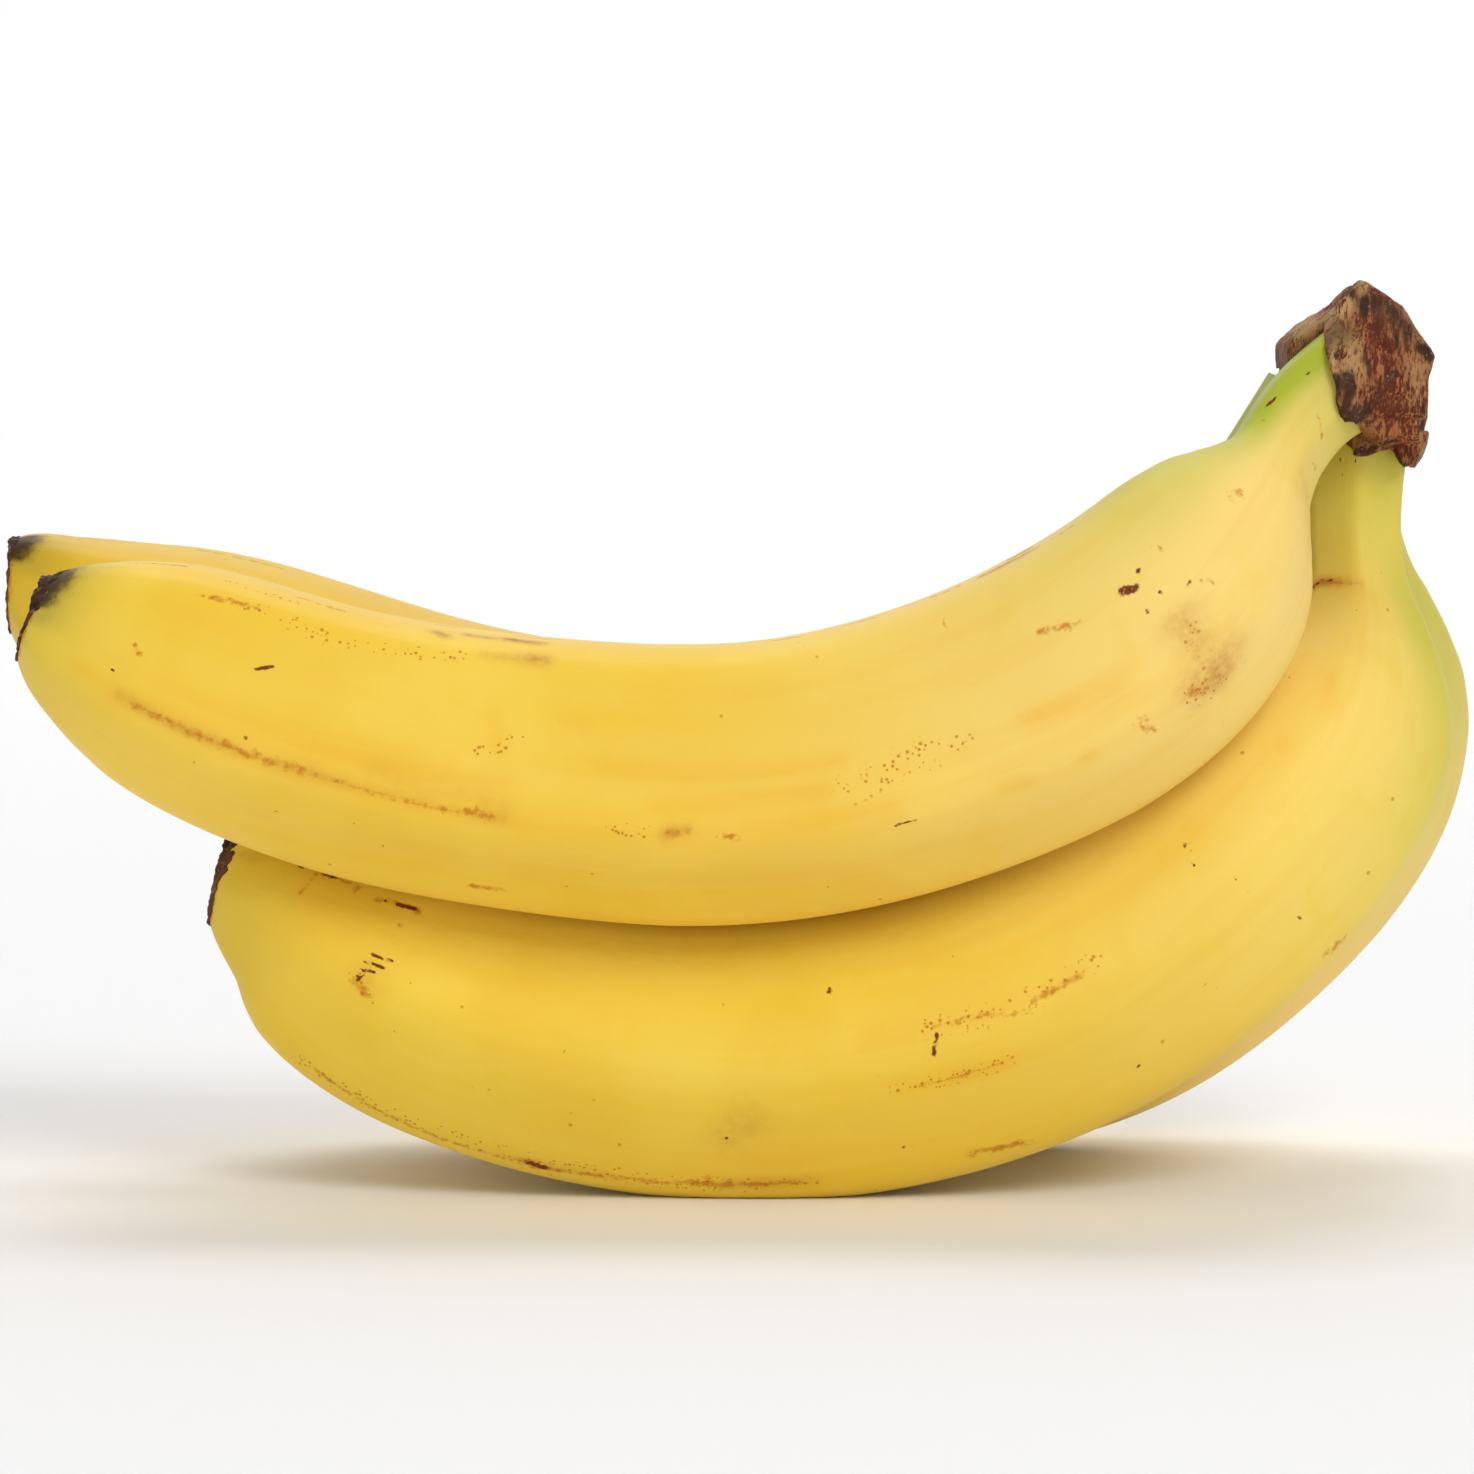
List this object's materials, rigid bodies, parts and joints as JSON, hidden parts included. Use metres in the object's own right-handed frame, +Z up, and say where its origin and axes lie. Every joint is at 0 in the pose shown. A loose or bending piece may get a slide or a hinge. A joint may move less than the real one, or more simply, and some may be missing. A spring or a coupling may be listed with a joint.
{
  "type": "bunch of bananas",
  "caption": "Bunch of ripe yellow bananas in an inner and an outer row, joined at a brown cut crown and resting on the backs of the outer row.",
  "frame": {"origin": "centre of the bunch's box, on the surface it rests on", "axes": "+X from the blossom ends to the crown, +Y from the front pair to the back pair, +Z up"},
  "size_m": [0.197, 0.0932, 0.1196],
  "materials": {
    "banana_peel": "waxy ripe yellow peel with a soft gloss, greenish at the necks",
    "crown_wood": "dry brown fibrous crown",
    "scar_brown": "dark dried blossom end"
  },
  "bodies": {
    "root": {"banana_inner_front": "banana_peel", "banana_inner_back": "banana_peel", "banana_outer_front": "banana_peel", "banana_outer_back": "banana_peel", "crown": "crown_wood", "scar_inner_front": "scar_brown", "scar_inner_back": "scar_brown", "scar_outer_front": "scar_brown", "scar_outer_back": "scar_brown"}
  },
  "joints": []
}
